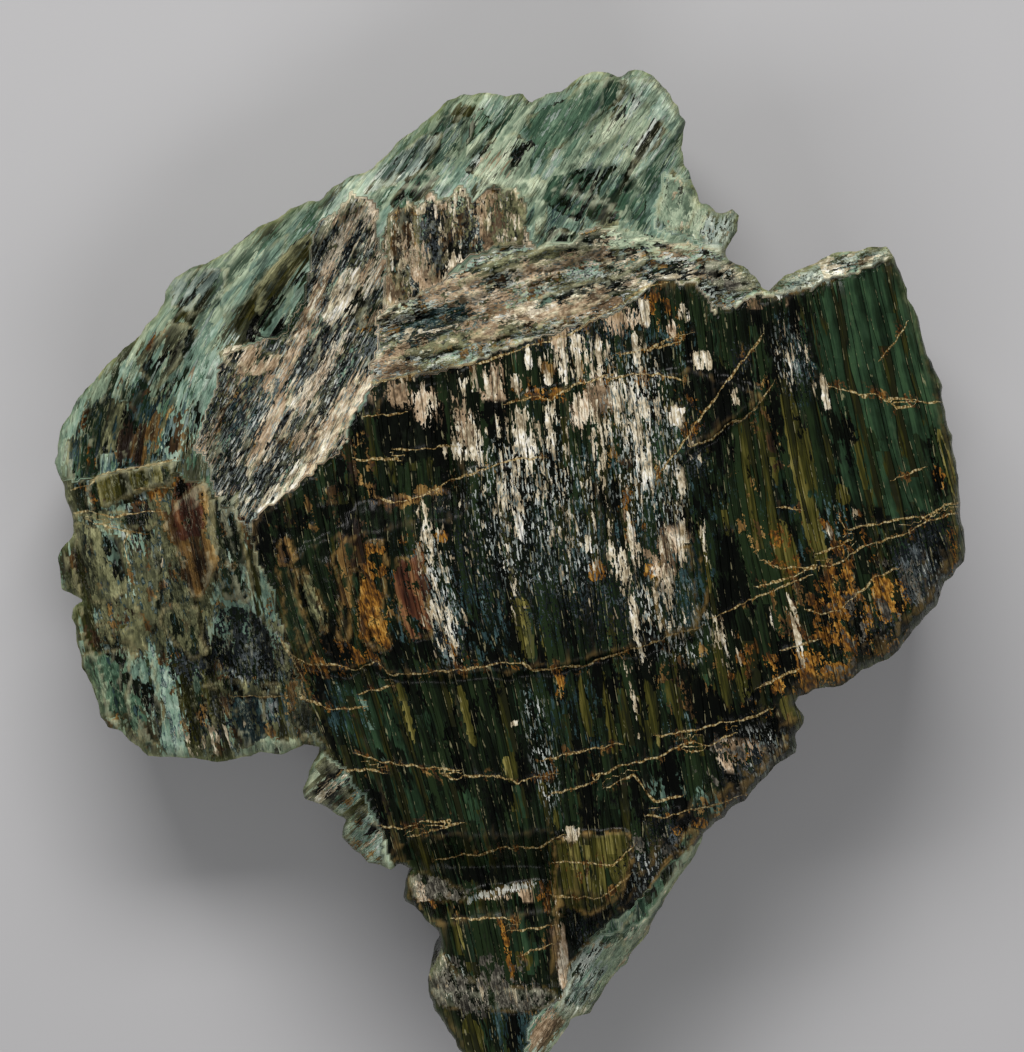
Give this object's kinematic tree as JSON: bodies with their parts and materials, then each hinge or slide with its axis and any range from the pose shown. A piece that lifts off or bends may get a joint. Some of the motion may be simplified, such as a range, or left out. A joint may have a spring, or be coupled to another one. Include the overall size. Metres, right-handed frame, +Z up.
{
  "type": "serpentine rock",
  "caption": "Rough broken slab of fibrous serpentine, wide at the top and tapering to a blunt tip, with a stepped face of upright columns, lying on a small flat spot on its back.",
  "frame": {"origin": "on the plane of the flat spot that the rock rests on, under the middle of the rock's box", "axes": "+Z up, out of the fibrous face; +Y towards the broad upper end, the longest way; +X across the face"},
  "size_m": [0.182, 0.198, 0.0523],
  "materials": {
    "serpentine": "waxy, dark bottle green with cream and ochre veins"
  },
  "bodies": {
    "root": {"serpentine_rock": "serpentine"}
  },
  "joints": []
}
